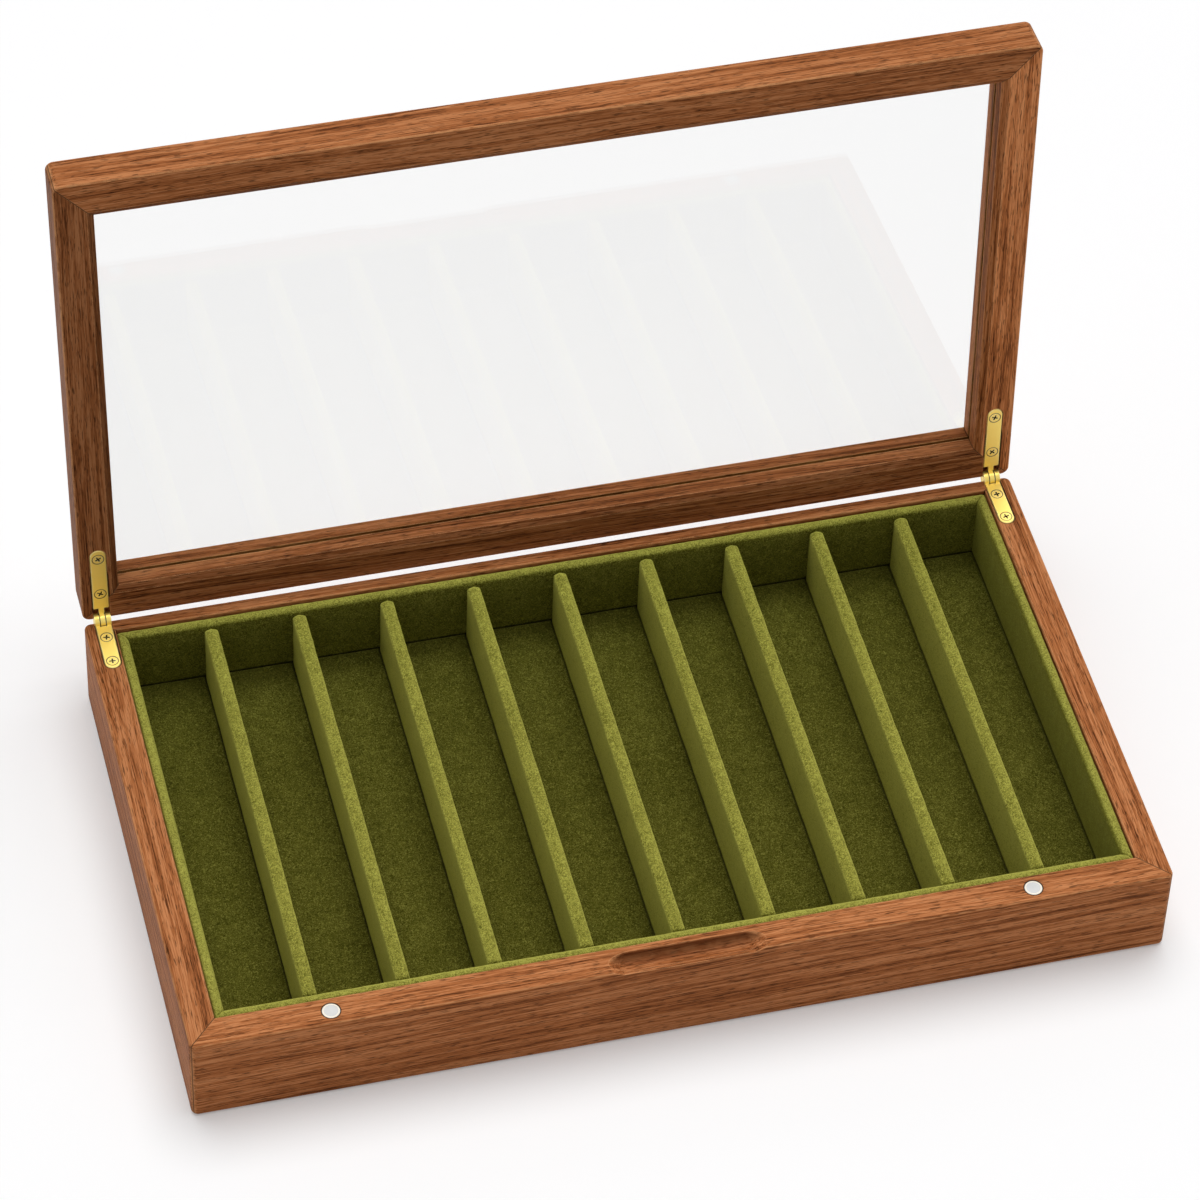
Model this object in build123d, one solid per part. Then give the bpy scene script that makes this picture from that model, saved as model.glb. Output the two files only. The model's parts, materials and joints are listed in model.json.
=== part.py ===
"""Walnut jewelry case with a glazed lid, an olive velvet liner and two brass side-rail hinges.

All sizes are millimetres. The origin is the centre of the underside, +Z is up,
+X runs to the right along the front rail and +Y runs back towards the hinges.
The lid is built closed and then swung open to the stop of its hinges.
"""

from build123d import *
from math import cos, radians, tan
import os

os.makedirs("parts", exist_ok=True)

# Case
case_width = 350.0
case_depth = 200.0
case_height = 37.5
side_rail = 10.8
front_rail = 11.2
back_rail = 5.2
case_corner_radius = 2.5
case_top_round = 1.0
case_foot_round = 1.5
inner_arris = 0.3

# Bottom panel, let into a rebate from below
panel_thickness = 5.0
panel_rebate = 2.5
panel_clearance = 0.1

# Velvet-covered liner boards
liner_board = 3.8
liner_gap = 0.3
liner_drop = 1.0
liner_inner_round = 1.8
liner_outer_round = 1.0
pad_thickness = 5.0
pad_clearance = 0.1
pad_round = 0.6

# Dividers
divider_count = 9
divider_thickness = 5.0
divider_drop = 1.0
divider_gap = 0.3
divider_end_round = 3.5
divider_top_round = 2.4

# Finger scoop in the front rail
scoop_length = 56.0
scoop_radius = 4.1
scoop_depth = 3.2
scoop_setback = 4.6
scoop_end_slope = 28.0
lip_drop = 1.5
lip_length = 55.0
lip_slope = 4.5

# Magnets in the front rail and their steel keepers in the lid
magnet_radius = 3.2
magnet_thickness = 3.0
magnet_from_end = 50.0
magnet_clearance = 0.05
magnet_edge_round = 0.25
keeper_radius = 3.0
keeper_thickness = 2.5
keeper_cover = 0.8

# Lid frame, with the glass in a groove
lid_thickness = 15.0
lid_side_rail = 11.4
lid_front_rail = 12.6
lid_back_rail = 11.2
lid_gap = 0.3
lid_corner_radius = 3.0
lid_top_round = 1.0
lid_foot_arris = 0.4
bevel_width = 2.5
bevel_depth = 1.6
glass_thickness = 2.0
glass_depth = 7.4
glass_overlap = 3.7
groove_depth = 4.0
groove_slack = 0.1

# Hinges
open_angle = 94.0
hinge_inset = 7.0
hinge_behind = 0.6
leaf_width = 6.0
leaf_thickness = 1.6
leaf_clearance = 0.15
leaf_bevel = 0.3
case_leaf_reach = 23.3
lid_leaf_reach = 33.0
lid_leaf_root = 5.0
knuckle_radius = 2.8
knuckle_clearance = 0.3
tongue_width = 2.0
tongue_clearance = 0.15
pin_radius = 0.8
pin_seat_clearance = 0.01
pin_running_clearance = 0.05
lug_reach = 3.7
lug_thickness = 0.9
lug_clearance = 0.1

# Screws
screw_head_radius = 2.1
screw_head_depth = 1.2
screw_shank_radius = 1.0
screw_length = 9.0
screw_sink = 0.05
screw_clearance = 0.05
cross_length = 2.4
cross_width = 0.6
cross_depth = 0.8
case_screw_places = (8.0, 19.8)
lid_screw_places = (12.0, 28.8)
case_screw_turns = (12.0, 4.0, 82.0, 75.0)
lid_screw_turns = (30.0, 62.0, 40.0, 20.0)

# Places worked out from the sizes above
half_width = case_width / 2
half_depth = case_depth / 2
lid_face = case_height + lid_gap
lid_top = lid_face + lid_thickness
hinge_y = half_depth + hinge_behind
hinge_z = case_height + lid_gap / 2
hinge_axis = Axis((0, hinge_y, hinge_z), (1, 0, 0))
hinge_x = half_width - hinge_inset
inner_low = (-half_width + side_rail, -half_depth + front_rail)
inner_high = (half_width - side_rail, half_depth - back_rail)
liner_low = (inner_low[0] + liner_gap, inner_low[1] + liner_gap)
liner_high = (inner_high[0] - liner_gap, inner_high[1] - liner_gap)
well_low = (liner_low[0] + liner_board, liner_low[1] + liner_board)
well_high = (liner_high[0] - liner_board, liner_high[1] - liner_board)
liner_top = case_height - liner_drop
pad_top = panel_thickness + pad_thickness
divider_top = liner_top - divider_drop
magnet_x = half_width - magnet_from_end
magnet_y = -half_depth + front_rail / 2
window_low = (-half_width + lid_side_rail, -half_depth + lid_front_rail)
window_high = (half_width - lid_side_rail, half_depth - lid_back_rail)
sight_low = (window_low[0] + bevel_width, window_low[1] + bevel_width)
sight_high = (window_high[0] - bevel_width, window_high[1] - bevel_width)


def block(low, high):
    """Box between two opposite corners."""
    size = [high[i] - low[i] for i in range(3)]
    centre = [(high[i] + low[i]) / 2 for i in range(3)]
    return Pos(*centre) * Box(*size)


def slab(low, high, z_low, z_high):
    """Box over the rectangle low to high, between two heights."""
    return block((low[0], low[1], z_low), (high[0], high[1], z_high))


def upright_cylinder(radius, x, y, z_low, z_high):
    """Cylinder along Z between two heights."""
    return Pos(x, y, (z_low + z_high) / 2) * Cylinder(radius, z_high - z_low)


def cross_cylinder(radius, x, length):
    """Cylinder along X, centred on the hinge axis."""
    return Pos(x, hinge_y, hinge_z) * Rot(0, 90, 0) * Cylinder(radius, length)


def grow(low, high, margin):
    """Rectangle made larger by a margin on every side."""
    return (low[0] - margin, low[1] - margin), (high[0] + margin, high[1] + margin)


def mitre_sectors(low, high, inner_low_corner, inner_high_corner, z_low, z_high):
    """Four blocks, front, back, left and right, that meet on the mitre lines of a frame."""
    outer = [low, (high[0], low[1]), high, (low[0], high[1])]
    inner = [
        inner_low_corner,
        (inner_high_corner[0], inner_low_corner[1]),
        inner_high_corner,
        (inner_low_corner[0], inner_high_corner[1]),
    ]
    reach = 0.2
    outside = []
    inside = []
    for out_point, in_point in zip(outer, inner):
        step = (in_point[0] - out_point[0], in_point[1] - out_point[1])
        outside.append((out_point[0] - reach * step[0], out_point[1] - reach * step[1]))
        inside.append((in_point[0] + reach * step[0], in_point[1] + reach * step[1]))
    sectors = {}
    for name, i, j in (("front", 0, 1), ("right", 1, 2), ("back", 2, 3), ("left", 3, 0)):
        face = make_face(Polyline(outside[i], outside[j], inside[j], inside[i], close=True))
        sectors[name] = Pos(0, 0, z_low) * extrude(face, z_high - z_low)
    return sectors


def swing_open(shape):
    """Turns a piece of the closed lid about the hinge pins to the open stop."""
    return shape.rotate(hinge_axis, -open_angle)


# Case frame: one ring with all its cuts, then sawn on the mitres
def leaf_plate(x, y_end, y_root, z_low, z_high, clearance=0.0):
    """Hinge leaf, or with a clearance its mortise: straight at the root, round at the far end."""
    half = leaf_width / 2 + clearance
    y_round = y_end + leaf_width / 2
    sides = Polyline((-half, y_round), (-half, y_root), (half, y_root), (half, y_round))
    end = ThreePointArc((half, y_round), (0, y_round - half), (-half, y_round))
    outline = make_face(sides + end)
    return Pos(x, 0, z_low) * extrude(outline, z_high - z_low, dir=(0, 0, 1))


def bevel_leaf(leaf, face_z, y_root):
    """Small bevel round the visible face of a leaf, all but its root."""
    face = leaf.faces().filter_by(Axis.Z).sort_by(lambda f: abs(f.center().Z - face_z))[0]
    edges = [edge for edge in face.edges() if edge.center().Y < y_root - leaf_bevel]
    return chamfer(edges, leaf_bevel)


def scoop_cutter():
    """Trough that rises to the rim at both ends, and a lowered lip in front of it."""
    height = case_height + scoop_radius - scoop_depth
    y = -half_depth + scoop_setback
    slope = radians(scoop_end_slope)
    run = (scoop_depth - scoop_radius + scoop_radius / cos(slope)) / tan(slope)
    end = scoop_length / 2 - run
    low_end = (Align.CENTER, Align.CENTER, Align.MIN)
    trough = Pos(0, y, height) * Rot(0, 90, 0) * Cylinder(scoop_radius, 2 * end)
    for side in (-1, 1):
        tilt = Rot(0, side * (90 - scoop_end_slope), 0)
        rising = tilt * Cylinder(scoop_radius, 2 * run, align=low_end)
        trough += Pos(side * end, y, height) * (Sphere(scoop_radius) + rising)
    half = lip_length / 2
    z_low = case_height - lip_drop
    z_high = case_height + lip_drop
    run = lip_slope * (z_high - z_low) / lip_drop
    profile = Polyline(
        (-half + lip_slope, z_low),
        (half - lip_slope, z_low),
        (half - lip_slope + run, z_high),
        (-half + lip_slope - run, z_high),
        close=True,
    )
    lip = extrude(Plane.XZ * make_face(profile), scoop_setback + 1.0, dir=(0, 1, 0))
    return trough + Pos(0, -half_depth - 1.0, 0) * lip


def hinge_cuts_in_case(x):
    """Mortise, knuckle pocket and slot for the stop lug at one hinge."""
    y_end = half_depth - case_leaf_reach
    behind = half_depth + 1.0
    above = case_height + 1.0
    half = leaf_width / 2 + leaf_clearance
    pocket_y = hinge_y - knuckle_radius - knuckle_clearance
    pocket_z = hinge_z - knuckle_radius - knuckle_clearance
    cuts = leaf_plate(x, y_end, behind, case_height - leaf_thickness, above, leaf_clearance)
    cuts += block((x - half, pocket_y, pocket_z), (x + half, behind, above))
    slot = tongue_width / 2 + knuckle_clearance
    slot_y = hinge_y - lug_reach - knuckle_clearance
    slot_z = hinge_z - (lug_reach**2 + (leaf_thickness + lug_clearance + lug_thickness) ** 2) ** 0.5
    low = (x - slot, slot_y, slot_z - knuckle_clearance)
    cuts += block(low, (x + slot, behind, case_height - leaf_thickness / 2))
    return cuts


def pilot_holes(x, places, face_z, direction):
    """Holes for the screws of one leaf, running into the rail from its face."""
    depth = screw_length + knuckle_clearance
    radius = screw_shank_radius + screw_clearance
    holes = []
    for place in places:
        y = half_depth - place
        ends = sorted((face_z, face_z + direction * depth))
        holes.append(upright_cylinder(radius, x, y, ends[0], ends[1]))
    return holes


def make_case_rails():
    outline = RectangleRounded(case_width, case_depth, case_corner_radius)
    ring = extrude(outline, case_height)
    ring = fillet(ring.faces().sort_by(Axis.Z)[0].edges(), case_foot_round)
    ring = fillet(ring.faces().sort_by(Axis.Z)[-1].edges(), case_top_round)
    ring -= slab(inner_low, inner_high, -1.0, case_height + 1.0)
    ring = chamfer(ring.faces().sort_by(Axis.Z)[-1].inner_wires()[0].edges(), inner_arris)
    low, high = grow(inner_low, inner_high, panel_rebate)
    ring -= slab(low, high, -1.0, panel_thickness)
    ring -= scoop_cutter()
    for side in (-1, 1):
        low_z = case_height - magnet_thickness
        ring -= upright_cylinder(
            magnet_radius + magnet_clearance, side * magnet_x, magnet_y, low_z, case_height + 1.0
        )
        x = side * hinge_x
        ring -= hinge_cuts_in_case(x)
        for hole in pilot_holes(x, case_screw_places, case_height - leaf_thickness, -1):
            ring -= hole
    corner_low = (-half_width, -half_depth)
    corner_high = (half_width, half_depth)
    sectors = mitre_sectors(corner_low, corner_high, inner_low, inner_high, -1.0, case_height + 1.0)
    return {name: ring & sector for name, sector in sectors.items()}


def make_bottom_panel():
    low, high = grow(inner_low, inner_high, panel_rebate - panel_clearance)
    return slab(low, high, 0, panel_thickness)


# Liner
def make_liner_boards():
    ring = slab(liner_low, liner_high, panel_thickness, liner_top)
    ring = fillet(ring.faces().sort_by(Axis.Z)[-1].edges(), liner_outer_round)
    ring -= slab(well_low, well_high, 0, case_height)
    ring = fillet(ring.faces().sort_by(Axis.Z)[-1].inner_wires()[0].edges(), liner_inner_round)
    sectors = mitre_sectors(liner_low, liner_high, well_low, well_high, 0, case_height)
    return {name: ring & sector for name, sector in sectors.items()}


def make_floor_pad():
    low, high = grow(well_low, well_high, -pad_clearance)
    pad = slab(low, high, panel_thickness, pad_top)
    return fillet(pad.faces().sort_by(Axis.Z)[-1].edges(), pad_round)


def make_divider(x):
    """Upright board across the well from front to back, with a rounded top."""
    y_low = well_low[1] + divider_gap
    y_high = well_high[1] - divider_gap
    half = divider_thickness / 2
    board = block((x - half, y_low, pad_top), (x + half, y_high, divider_top))
    ends = board.edges().filter_by(Axis.X).group_by(Axis.Z)[-1]
    board = fillet(ends, divider_end_round)
    crown = board.faces().sort_by(Axis.Z)[-1]
    long_edges = crown.edges().filter_by(Axis.Y)
    return fillet(long_edges, divider_top_round)


# Hinges
def make_case_leaf(x):
    """Leaf let into the side rail, ending in a fork of two knuckles."""
    y_end = half_depth - case_leaf_reach
    leaf = leaf_plate(x, y_end, hinge_y, case_height - leaf_thickness, case_height)
    leaf = bevel_leaf(leaf, case_height, hinge_y)
    leaf += cross_cylinder(knuckle_radius, x, leaf_width)
    half = tongue_width / 2 + tongue_clearance
    slot_y = hinge_y - knuckle_radius - knuckle_clearance
    low = (x - half, slot_y, hinge_z - 2 * knuckle_radius)
    leaf -= block(low, (x + half, hinge_y + 2 * knuckle_radius, hinge_z + 2 * knuckle_radius))
    leaf -= cross_cylinder(pin_radius + pin_seat_clearance, x, leaf_width + 1.0)
    for place in case_screw_places:
        leaf -= screw_seat(x, half_depth - place, case_height, -1)
    return leaf


def make_lid_leaf(x):
    """Leaf let into the lid rail, with one tongue between the knuckles and a stop lug."""
    y_end = half_depth - lid_leaf_reach
    y_root = half_depth - lid_leaf_root
    leaf = leaf_plate(x, y_end, y_root, lid_face, lid_face + leaf_thickness)
    leaf = bevel_leaf(leaf, lid_face, y_root)
    half = tongue_width / 2
    leaf += block((x - half, y_root - 1.0, lid_face), (x + half, hinge_y, lid_face + leaf_thickness))
    leaf += cross_cylinder(knuckle_radius, x, tongue_width)
    for place in lid_screw_places:
        leaf -= screw_seat(x, half_depth - place, lid_face, 1)
    leaf = swing_open(leaf)
    lug_top = case_height - leaf_thickness - lug_clearance
    lug_low = (x - half, hinge_y - lug_reach, lug_top - lug_thickness)
    leaf += block(lug_low, (x + half, hinge_y, lug_top))
    leaf -= cross_cylinder(pin_radius + pin_running_clearance, x, leaf_width)
    return leaf


def make_pin(x):
    return cross_cylinder(pin_radius, x, leaf_width)


def screw_seat(x, y, face_z, direction):
    """Countersunk hole in a leaf whose face is at face_z; direction points into the wood."""
    top = screw_head_radius + screw_clearance
    bottom = screw_shank_radius + screw_clearance
    cone = Cone(top, bottom, screw_head_depth, align=(Align.CENTER, Align.CENTER, Align.MIN))
    hole = Cylinder(bottom, 2 * leaf_thickness, align=(Align.CENTER, Align.CENTER, Align.MIN))
    turn = Rot(180, 0, 0) if direction < 0 else Rot(0, 0, 0)
    return Pos(x, y, face_z) * turn * (cone + hole)


def make_screw(x, y, face_z, direction, turn):
    """Countersunk screw with a cross recess; its head lies just under the leaf's face."""
    low = (Align.CENTER, Align.CENTER, Align.MIN)
    head = Cone(screw_head_radius, screw_shank_radius, screw_head_depth, align=low)
    shank_length = screw_length - 1.5 * screw_shank_radius
    shank = Cylinder(screw_shank_radius, shank_length, align=low)
    tip_length = screw_length - shank_length
    tip = Pos(0, 0, shank_length) * Cone(screw_shank_radius, 0.2, tip_length, align=low)
    recess = Box(cross_length, cross_width, 2 * cross_depth)
    recess += Box(cross_width, cross_length, 2 * cross_depth)
    screw = head + shank + tip - Rot(0, 0, turn) * recess
    flip = Rot(180, 0, 0) if direction < 0 else Rot(0, 0, 0)
    return Pos(x, y, face_z + direction * screw_sink) * flip * screw


def make_screws(places, turns, face_z, direction):
    """The four screws of one pair of leaves."""
    screws = []
    spots = [(side * hinge_x, half_depth - place) for side in (-1, 1) for place in places]
    for (x, y), turn in zip(spots, turns):
        screws.append(make_screw(x, y, face_z, direction, turn))
    return screws


# Magnets and keepers
def make_magnet(x):
    disc = upright_cylinder(magnet_radius, x, magnet_y, case_height - magnet_thickness, case_height)
    return fillet(disc.edges().group_by(Axis.Z)[-1], magnet_edge_round)


def keeper_disc(x, clearance):
    low = lid_face + keeper_cover - clearance
    high = lid_face + keeper_cover + keeper_thickness + clearance
    return upright_cylinder(keeper_radius + clearance, x, magnet_y, low, high)


# Lid
def make_lid_rails():
    outline = RectangleRounded(case_width, case_depth, lid_corner_radius)
    ring = Pos(0, 0, lid_face) * extrude(outline, lid_thickness)
    ring = fillet(ring.faces().sort_by(Axis.Z)[-1].edges(), lid_top_round)
    ring = chamfer(ring.faces().sort_by(Axis.Z)[0].edges(), lid_foot_arris)
    ring -= slab(sight_low, sight_high, lid_face - 1.0, lid_top + 1.0)
    low = [window_low, (window_high[0], window_low[1]), window_high, (window_low[0], window_high[1])]
    high = [sight_low, (sight_high[0], sight_low[1]), sight_high, (sight_low[0], sight_high[1])]
    mouth = Pos(0, 0, lid_face) * make_face(Polyline(*low, close=True))
    throat = Pos(0, 0, lid_face + bevel_depth) * make_face(Polyline(*high, close=True))
    ring -= loft([mouth, throat], ruled=True)
    groove_low, groove_high = grow(sight_low, sight_high, groove_depth)
    groove_z = lid_face + glass_depth - groove_slack
    groove_top = lid_face + glass_depth + glass_thickness + groove_slack
    ring -= slab(groove_low, groove_high, groove_z, groove_top)
    behind = half_depth + 1.0
    for side in (-1, 1):
        x = side * hinge_x
        y_root = half_depth - lid_leaf_root
        y_end = half_depth - lid_leaf_reach
        face_low = lid_face - 1.0
        leaf_top = lid_face + leaf_thickness
        ring -= leaf_plate(x, y_end, y_root, face_low, leaf_top, leaf_clearance)
        half = leaf_width / 2 + leaf_clearance
        pocket_top = hinge_z + knuckle_radius + knuckle_clearance
        ring -= block((x - half, y_root, face_low), (x + half, behind, pocket_top))
        for hole in pilot_holes(x, lid_screw_places, leaf_top, 1):
            ring -= hole
        ring -= keeper_disc(side * magnet_x, magnet_clearance)
    corner_low = (-half_width, -half_depth)
    corner_high = (half_width, half_depth)
    sectors = mitre_sectors(corner_low, corner_high, sight_low, sight_high, 0, lid_top + 1.0)
    return {name: swing_open(ring & sector) for name, sector in sectors.items()}


def make_glass():
    low, high = grow(sight_low, sight_high, glass_overlap)
    z_low = lid_face + glass_depth
    return swing_open(slab(low, high, z_low, z_low + glass_thickness))


def save(node, shape):
    export_step(shape, f"parts/{node}.step")


def group(solids):
    return Compound(children=solids)


def main():
    for name, rail in make_case_rails().items():
        save(f"case_{name}_rail", rail)
    save("case_bottom_panel", make_bottom_panel())
    for name, board in make_liner_boards().items():
        save(f"liner_{name}", board)
    save("liner_floor_pad", make_floor_pad())
    pitch = (well_high[0] - well_low[0] + divider_thickness) / (divider_count + 1)
    for i in range(divider_count):
        x = well_low[0] + (i + 1) * pitch - divider_thickness / 2
        save(f"divider_{i + 1}", make_divider(x))
    for name, rail in make_lid_rails().items():
        save(f"lid_{name}_rail", rail)
    save("lid_glass", make_glass())
    for name, side in (("left", -1), ("right", 1)):
        x = side * hinge_x
        save(f"case_hinge_leaf_{name}", make_case_leaf(x))
        save(f"lid_hinge_leaf_{name}", make_lid_leaf(x))
        save(f"hinge_pin_{name}", make_pin(x))
        save(f"magnet_{name}", make_magnet(side * magnet_x))
        save(f"lid_keeper_{name}", swing_open(keeper_disc(side * magnet_x, 0.0)))
    case_screws = make_screws(case_screw_places, case_screw_turns, case_height, -1)
    save("case_hinge_screws", group(case_screws))
    lid_screws = make_screws(lid_screw_places, lid_screw_turns, lid_face, 1)
    save("lid_hinge_screws", group([swing_open(screw) for screw in lid_screws]))


main()
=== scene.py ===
"""Looks of a walnut jewelry case with a glazed lid, an olive velvet liner and brass side-rail hinges."""

import bpy
import json
import math
from bpy.props import FloatProperty, FloatVectorProperty, IntProperty, PointerProperty
from mathutils import Matrix, Vector, noise


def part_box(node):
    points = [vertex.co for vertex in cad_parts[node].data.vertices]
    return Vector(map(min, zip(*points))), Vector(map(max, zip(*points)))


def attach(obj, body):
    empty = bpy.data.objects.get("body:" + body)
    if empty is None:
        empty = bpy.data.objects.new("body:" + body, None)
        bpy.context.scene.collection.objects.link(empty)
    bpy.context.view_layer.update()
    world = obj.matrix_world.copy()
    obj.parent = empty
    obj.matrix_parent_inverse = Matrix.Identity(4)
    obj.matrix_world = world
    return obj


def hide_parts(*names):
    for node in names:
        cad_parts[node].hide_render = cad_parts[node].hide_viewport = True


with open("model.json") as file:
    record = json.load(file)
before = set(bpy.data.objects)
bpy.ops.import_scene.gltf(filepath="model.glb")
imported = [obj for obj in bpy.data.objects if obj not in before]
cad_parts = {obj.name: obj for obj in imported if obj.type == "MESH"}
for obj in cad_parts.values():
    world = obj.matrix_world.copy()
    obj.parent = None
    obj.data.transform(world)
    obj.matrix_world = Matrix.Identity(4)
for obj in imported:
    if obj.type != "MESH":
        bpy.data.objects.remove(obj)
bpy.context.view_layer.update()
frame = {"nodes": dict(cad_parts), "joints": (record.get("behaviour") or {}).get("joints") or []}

bl_info = {
    "name": "Glazed Jewelry Case",
    "version": (1, 0, 0),
    "blender": (4, 5, 0),
    "location": "View3D > Sidebar > Jewelry Case",
    "description": "Dresses a walnut jewelry case and sets a pale studio round it",
    "category": "Object",
}

MM = 0.001
hinge = frame["joints"][0]
hinge_point = Vector(hinge["pos_m"])
closing_turn = Matrix.Rotation(math.radians(hinge["range_deg"][1]), 4, Vector(hinge["axis"]))
close_lid = Matrix.Translation(hinge_point) @ closing_turn @ Matrix.Translation(-hinge_point)


# Settings


def colour(name, description, default):
    return FloatVectorProperty(
        name=name, description=description, subtype="COLOR", size=3, min=0, max=1, default=default)


def length(name, description, low, high, default):
    return FloatProperty(
        name=name, description=description, unit="LENGTH", min=low, max=high, default=default)


def share(name, description, default):
    return FloatProperty(name=name, description=description, subtype="FACTOR", min=0, max=1, default=default)


def angle(name, description, low, high, default):
    low, high, default = (math.radians(degrees) for degrees in (low, high, default))
    return FloatProperty(
        name=name, description=description, unit="ROTATION", min=low, max=high, default=default)


class WalnutSettings(bpy.types.PropertyGroup):
    pale: colour("Pale wood", "Colour of the lightest grain", (0.56, 0.225, 0.088))
    body: colour("Body wood", "Main colour of the grain", (0.37, 0.121, 0.037))
    dark: colour("Dark wood", "Colour of the dark streaks", (0.122, 0.035, 0.010))
    pore_depth: length("Pore depth", "Depth of the open pores", 0, 0.001, 0.00006)
    # Colour of the painted highlight along the wood's edges, and the width of that painted highlight.
    worn: colour("Worn wood", "Colour of the edges, where handling rubs the oil away", (0.74, 0.36, 0.155))
    arris_radius: length("Arris width", "Width of the worn line along each sharp edge", 0, 0.003, 0.0005)
    roughness: share("Roughness", "Roughness of the oiled surface", 0.50)


class VelvetSettings(bpy.types.PropertyGroup):
    shade: colour("Pile in shade", "Colour deep in the pile", (0.062, 0.060, 0.004))
    pile: colour("Pile", "Main colour of the pile", (0.140, 0.135, 0.013))
    # The pile tips colour is also what the painted light and the painted sheen lift the pile towards.
    tips: colour("Pile tips", "Colour of the pile seen along its surface", (0.50, 0.48, 0.092))
    # This darkens the floor velvet as painted shade.
    floor_share: share("Floor share", "How dark the floor's pressed pile is beside that of the boards", 0.515)
    nap_size: length("Nap size", "Width of one tuft of the pile", 0.0001, 0.01, 0.00074)
    ruffle: length("Ruffle", "How far the surface of the pile wanders", 0, 0.002, 0.00012)


class MetalSettings(bpy.types.PropertyGroup):
    brass: colour("Brass", "Colour of the hinges and screws", (1.0, 0.77, 0.20))
    tarnish: colour("Tarnish", "Colour of the handled brass", (0.92, 0.62, 0.11))
    nickel: colour("Nickel", "Colour of the magnets", (0.49, 0.49, 0.48))
    steel: colour("Steel", "Colour of the keepers", (0.45, 0.45, 0.46))


class GlassSettings(bpy.types.PropertyGroup):
    tint: colour("Tint", "Colour of the pane", (0.929, 0.930, 0.926))
    # This colour paints the shade of the groove, tinted green, along the pane's edge.
    edge_tint: colour("Edge tint", "Colour of the pane near its edge", (0.58, 0.64, 0.46))


class LinerSettings(bpy.types.PropertyGroup):
    crown: length("Crown", "How far the middle of a divider's top rises", 0, 0.01, 0.0004)
    corner: length("Corner", "Radius of a divider's long edges", 0.0002, 0.0024, 0.0013)
    end_round: length("End rounding", "Radius of a divider's end, seen from the side", 0.0005, 0.02, 0.0014)
    tuck: length("Tuck", "How far the floor velvet dips at the foot of a board", 0.0002, 0.002, 0.0009)
    stations: IntProperty(
        name="Stations", description="Rings of points along a divider", min=20, max=400, default=120)


class StageSettings(bpy.types.PropertyGroup):
    azimuth: angle("Azimuth", "Camera's turn round the case, 0 from the front", -180, 180, -15.71)
    elevation: angle("Elevation", "Camera's height above the horizon", -90, 90, 46.893)
    roll: angle("Roll", "Camera's turn about its own line of sight", -180, 180, -2.386)
    distance: length("Distance", "Camera's distance from its aim", 0.1, 20, 1.957)
    aim: FloatVectorProperty(
        name="Aim", description="Point that the camera looks at",
        unit="LENGTH", size=3, default=(0.00383, 0.04763, 0.06388))
    lens: FloatProperty(
        name="Lens", description="Focal length for a frame 36 mm wide", min=10, default=164.02)
    fill: FloatProperty(
        name="Fill", description="Strength of the light from all round", min=0, max=5, default=0.41)
    key: FloatProperty(
        name="Key", description="Strength of the wide soft light overhead", min=0, max=20, default=2.15)
    key_width: angle("Key width", "Angle that the overhead light fills, as the object sees it", 0, 180, 48)
    key_aim: FloatVectorProperty(
        name="Key direction", description="Where the overhead light comes from",
        subtype="DIRECTION", size=3, default=(0.09, 0.25, 0.95))
    floor_lift: share("Floor lift", "Light that the floor adds of its own, so that it shows as white", 0.205)


# Node helpers


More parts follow.
